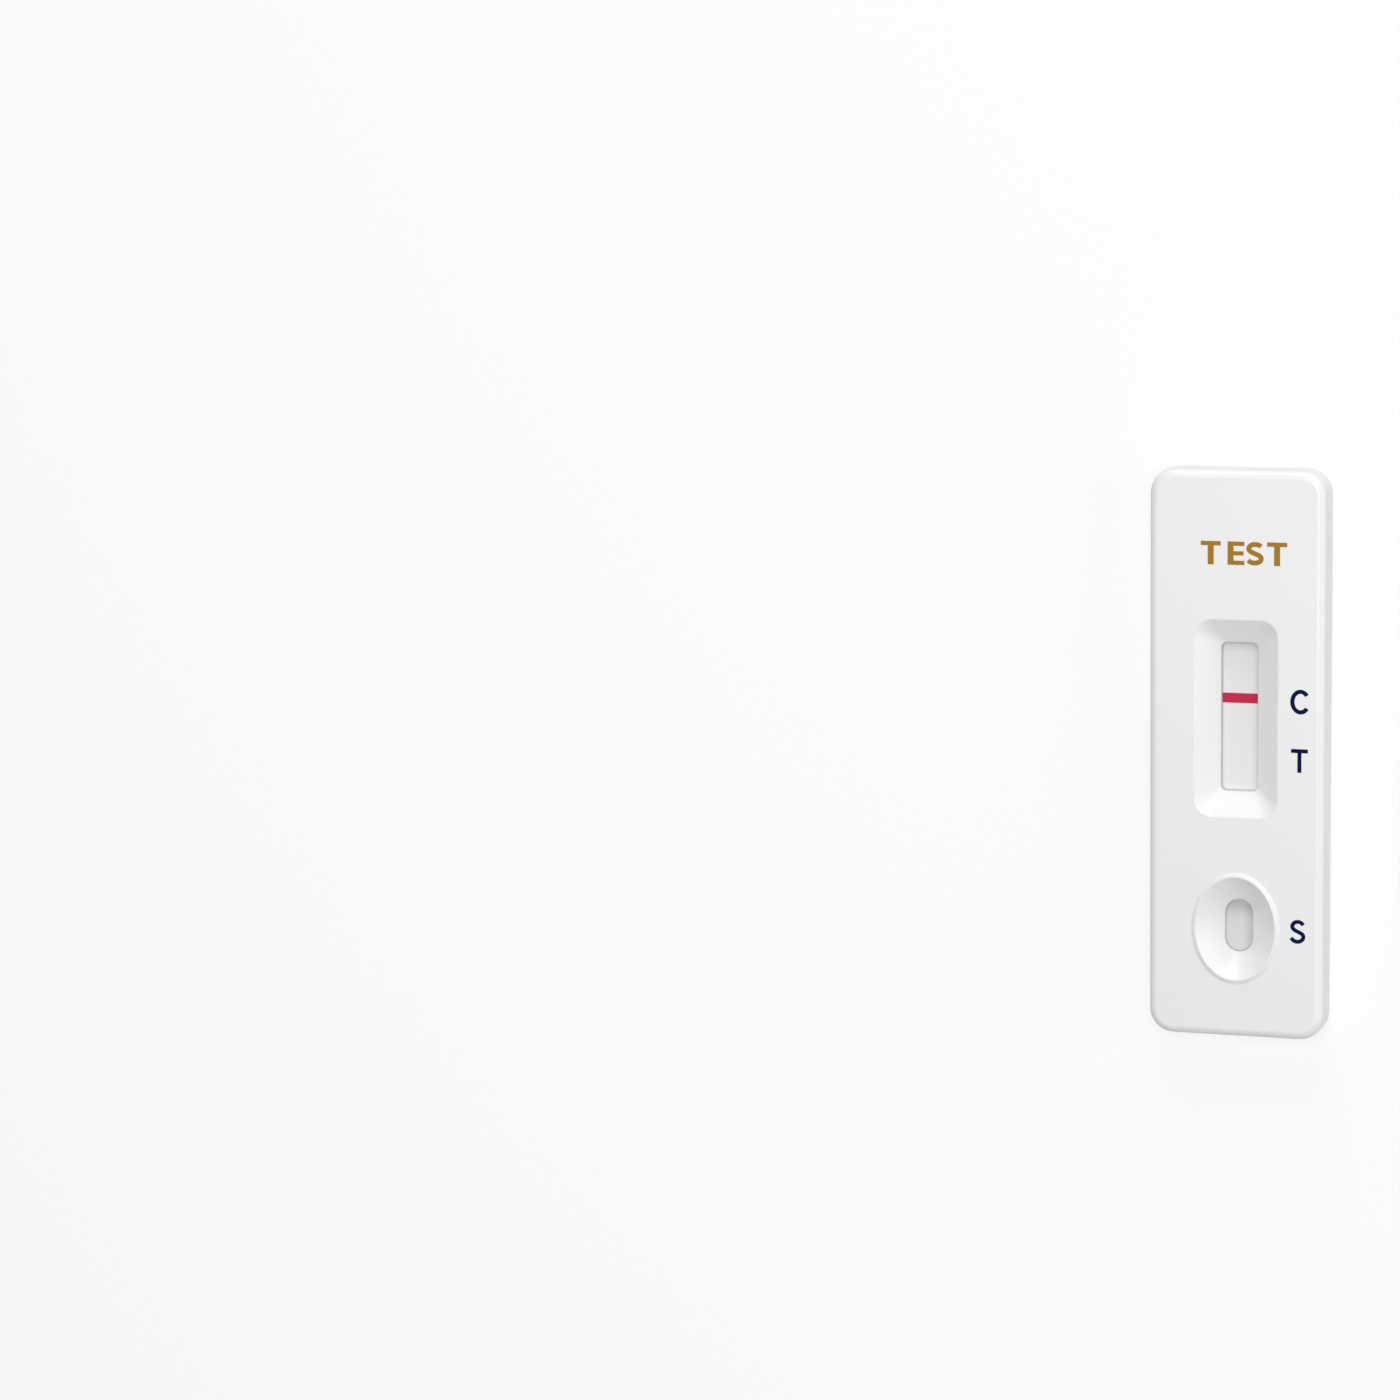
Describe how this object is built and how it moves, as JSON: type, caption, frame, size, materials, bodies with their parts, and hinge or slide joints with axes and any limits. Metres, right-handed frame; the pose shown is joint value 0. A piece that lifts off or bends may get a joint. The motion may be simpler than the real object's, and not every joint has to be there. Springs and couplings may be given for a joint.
{
  "type": "lateral flow cassette",
  "caption": "Flat white plastic test cassette with a bevelled result window, an oval sample well with a slotted port, and an absorbent test strip held inside.",
  "frame": {"origin": "middle of the underside of the base", "axes": "+X across the cassette, +Y along it to the head end, away from the sample well, and +Z out of the face"},
  "size_m": [0.0218, 0.07, 0.0048],
  "materials": {
    "housing": "white moulded plastic, satin",
    "strip_card": "white card, smooth",
    "membrane": "matte, finely porous",
    "control_line": "red line soaked into the membrane",
    "conjugate_pad": "glass fibre, dyed pink by dried reagent",
    "sample_pad": "fibrous cellulose",
    "absorbent_pad": "thick fibrous cellulose"
  },
  "bodies": {
    "root": {"top_cover": "housing", "base": "housing", "backing_card": "strip_card", "membrane": "membrane", "control_line": "control_line", "conjugate_pad": "conjugate_pad", "sample_pad": "sample_pad", "absorbent_pad": "absorbent_pad"}
  },
  "joints": []
}
